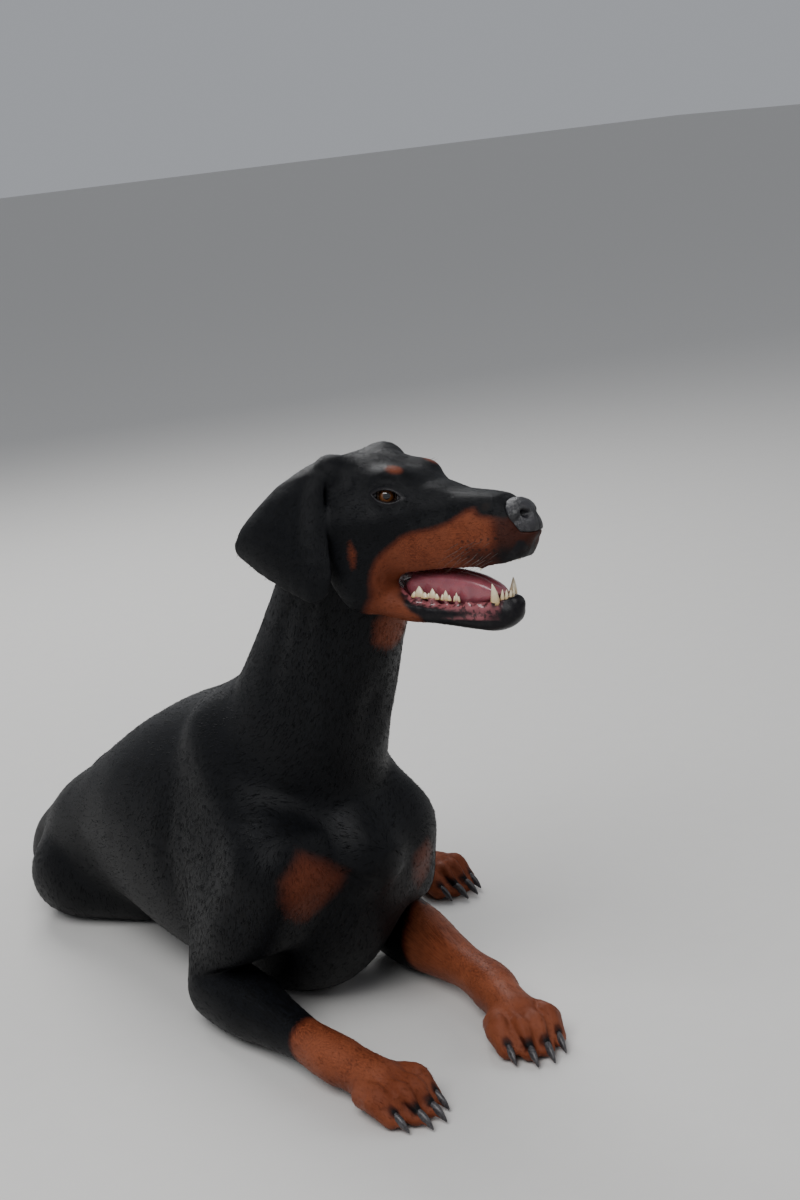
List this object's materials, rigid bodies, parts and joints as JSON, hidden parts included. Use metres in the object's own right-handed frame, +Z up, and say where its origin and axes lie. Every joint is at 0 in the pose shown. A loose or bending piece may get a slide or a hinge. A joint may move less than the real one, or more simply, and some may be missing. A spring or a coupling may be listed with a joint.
{
  "type": "doberman pinscher dog lying on its elbows",
  "caption": "Life-size doberman pinscher lying propped on its elbows, hind legs out to one side, head up and turned, mouth open, natural hanging ears",
  "frame": {"origin": "on the ground under the chest, midway between the elbows, where the breastbone rests", "axes": "+X to the dog's left, +Y towards its tail and along its length, +Z up"},
  "size_m": [0.49, 1.1495, 0.6528],
  "materials": {
    "coat_black": "short glossy black coat",
    "coat_rust": "short rust-coloured coat",
    "nose_leather": "moist pebbled black leather of the nose and lips",
    "tongue": "wet pink flesh",
    "teeth": "ivory tooth enamel",
    "claws": "dark horn",
    "eye": "wet brown eye with a dark pupil"
  },
  "bodies": {
    "root": {"head": "coat_black", "nose": "nose_leather", "jaw": "coat_rust", "tongue": "tongue", "ear_right": "coat_black", "ear_left": "coat_black", "eye_right": "eye", "eye_left": "eye", "neck": "coat_black", "torso": "coat_black", "upper_arm_right": "coat_black", "upper_arm_left": "coat_black", "forearm_right": "coat_rust", "forearm_left": "coat_rust", "fore_paw_right": "coat_rust", "fore_paw_left": "coat_rust", "thigh_right": "coat_black", "thigh_left": "coat_black", "shank_right": "coat_black", "shank_left": "coat_black", "hind_foot_right": "coat_rust", "hind_foot_left": "coat_rust", "tail": "coat_black"}
  },
  "joints": []
}
